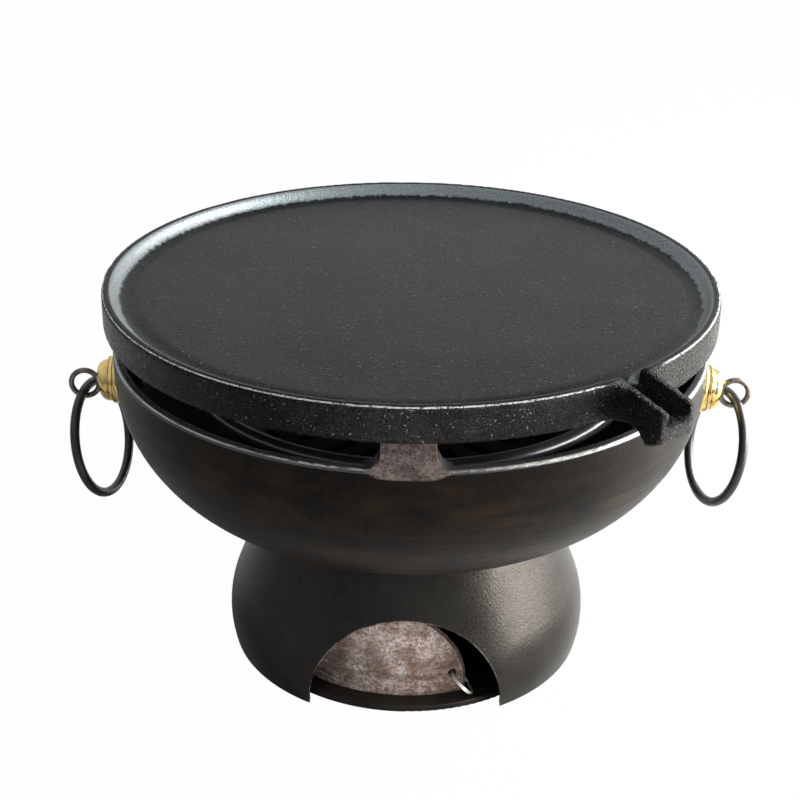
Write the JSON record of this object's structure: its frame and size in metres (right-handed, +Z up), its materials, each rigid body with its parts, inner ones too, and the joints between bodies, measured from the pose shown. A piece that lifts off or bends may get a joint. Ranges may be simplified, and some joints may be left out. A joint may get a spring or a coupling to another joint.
{
  "type": "table-top charcoal grill",
  "caption": "Round cast-iron table-top charcoal grill: griddle plate with a pouring spout on a fire bowl with ring handles, and a flared pedestal with a sliding air door.",
  "frame": {"origin": "middle of the foot, on the table's surface", "axes": "+Z up, -Y out of the arch and the air door, +X through the right-hand handle"},
  "size_m": [0.38, 0.33, 0.219],
  "materials": {
    "griddle_plate": "seasoned sand-cast iron, fine grain",
    "bowl": "dark seasoned iron, semi-matte, turned",
    "pedestal": "dark seasoned iron, fine matte",
    "bottom_plate": "dark matte iron",
    "bottom_plate_screws": "plain steel",
    "air_door": "bare iron with brown and grey blotches",
    "door_pull_ring": "bright steel",
    "pivot_screw": "plain steel",
    "pivot_washer": "plain steel",
    "pivot_nut": "plain steel",
    "neck_bolts": "blackened steel",
    "neck_washers": "plain steel",
    "neck_nuts": "plain steel",
    "fire_basin": "black cast iron",
    "charcoal_grate": "black cast iron",
    "left_boss": "polished brass",
    "left_eye_bolt": "dark forged iron",
    "left_washer": "plain steel",
    "left_nut": "plain steel",
    "left_handle_ring": "black enamelled iron wire",
    "right_boss": "polished brass",
    "right_eye_bolt": "dark forged iron",
    "right_washer": "plain steel",
    "right_nut": "plain steel",
    "right_handle_ring": "black enamelled iron wire"
  },
  "bodies": {
    "stand": {"bowl": "bowl", "pedestal": "pedestal", "bottom_plate": "bottom_plate", "bottom_plate_screws": "bottom_plate_screws", "pivot_screw": "pivot_screw", "pivot_washer": "pivot_washer", "pivot_nut": "pivot_nut", "neck_bolts": "neck_bolts", "neck_washers": "neck_washers", "neck_nuts": "neck_nuts", "left_boss": "left_boss", "left_eye_bolt": "left_eye_bolt", "left_washer": "left_washer", "left_nut": "left_nut", "right_boss": "right_boss", "right_eye_bolt": "right_eye_bolt", "right_washer": "right_washer", "right_nut": "right_nut"},
    "basin": {"fire_basin": "fire_basin"},
    "grate": {"charcoal_grate": "charcoal_grate"},
    "griddle": {"griddle_plate": "griddle_plate"},
    "door": {"air_door": "air_door"},
    "pull_ring": {"door_pull_ring": "door_pull_ring"},
    "left_ring": {"left_handle_ring": "left_handle_ring"},
    "right_ring": {"right_handle_ring": "right_handle_ring"}
  },
  "joints": [
    {"name": "basin_lift", "type": "slide", "parent": "stand", "child": "basin", "axis": [0, 0, 1], "range_m": [0, 0.12]},
    {"name": "grate_lift", "type": "slide", "parent": "basin", "child": "grate", "axis": [0, 0, 1], "range_m": [0, 0.06]},
    {"name": "griddle_lift", "type": "slide", "parent": "grate", "child": "griddle", "axis": [0, 0, 1], "range_m": [0, 0.06]},
    {"name": "door_swing", "type": "hinge", "parent": "stand", "child": "door", "pos_m": [0, 0, 0.0043], "axis": [0, 0, 1], "range_deg": [-53, 16.7]},
    {"name": "pull_ring_swing", "type": "hinge", "parent": "door", "child": "pull_ring", "pos_m": [0.02537, -0.07846, 0.017], "axis": [0.0278, -0.9832, 0.1805], "range_deg": [0, 60]},
    {"name": "left_ring_swing", "type": "hinge", "parent": "stand", "child": "left_ring", "pos_m": [-0.18077, 0, 0.14813], "axis": [0.2419, 0.9703, 0], "range_deg": [-34, 160]},
    {"name": "right_ring_swing", "type": "hinge", "parent": "stand", "child": "right_ring", "pos_m": [0.18077, 0, 0.14813], "axis": [0.2419, -0.9703, 0], "range_deg": [-34, 160]}
  ]
}
